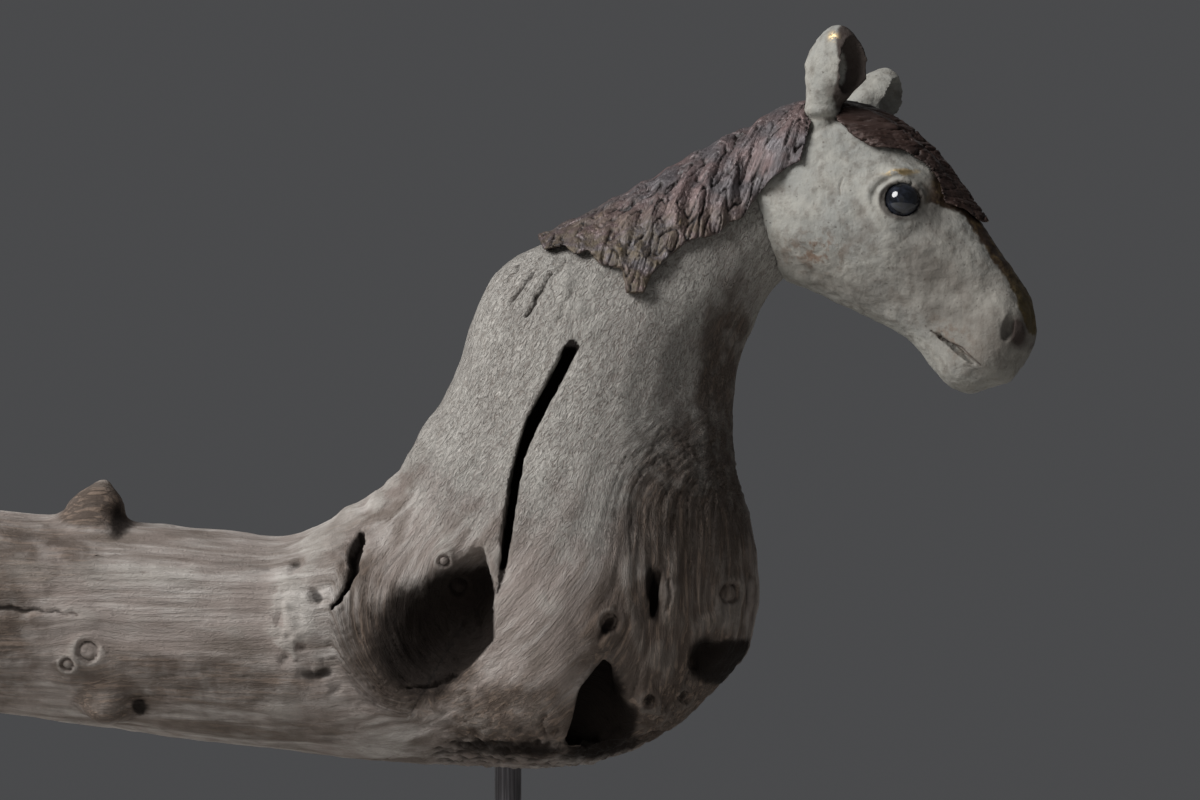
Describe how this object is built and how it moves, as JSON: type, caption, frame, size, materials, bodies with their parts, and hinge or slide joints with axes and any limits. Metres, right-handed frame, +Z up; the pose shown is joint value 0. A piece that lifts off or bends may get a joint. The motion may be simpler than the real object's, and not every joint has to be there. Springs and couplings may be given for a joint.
{
  "type": "driftwood horse sculpture",
  "caption": "Driftwood log whose root end rises into a horse's chest and neck, with a clay head, ears and mane, held on a steel rod above a plain base plate.",
  "frame": {"origin": "centre of the base plate's underside, on the rod's axis", "axes": "+Z up along the rod, +X the way the horse faces, +Y towards its left side"},
  "size_m": [0.3769, 0.11, 0.3299],
  "materials": {
    "base_steel": "dark patinated steel plate, satin",
    "rod_steel": "dark drawn steel rod, brushed",
    "driftwood": "weathered grey-brown driftwood, pale limewash on the neck and chest, matt",
    "pale_clay": "air-dried clay painted off-white, speckled, matt",
    "mane_clay": "clay painted brown-violet with bronze and gold on the ridges, satin",
    "eye_bead": "blue-black glass bead, polished"
  },
  "bodies": {
    "root": {"base_plate": "base_steel", "steel_rod": "rod_steel", "driftwood": "driftwood", "clay_head": "pale_clay", "clay_mane": "mane_clay", "right_eye": "eye_bead", "left_eye": "eye_bead"}
  },
  "joints": []
}
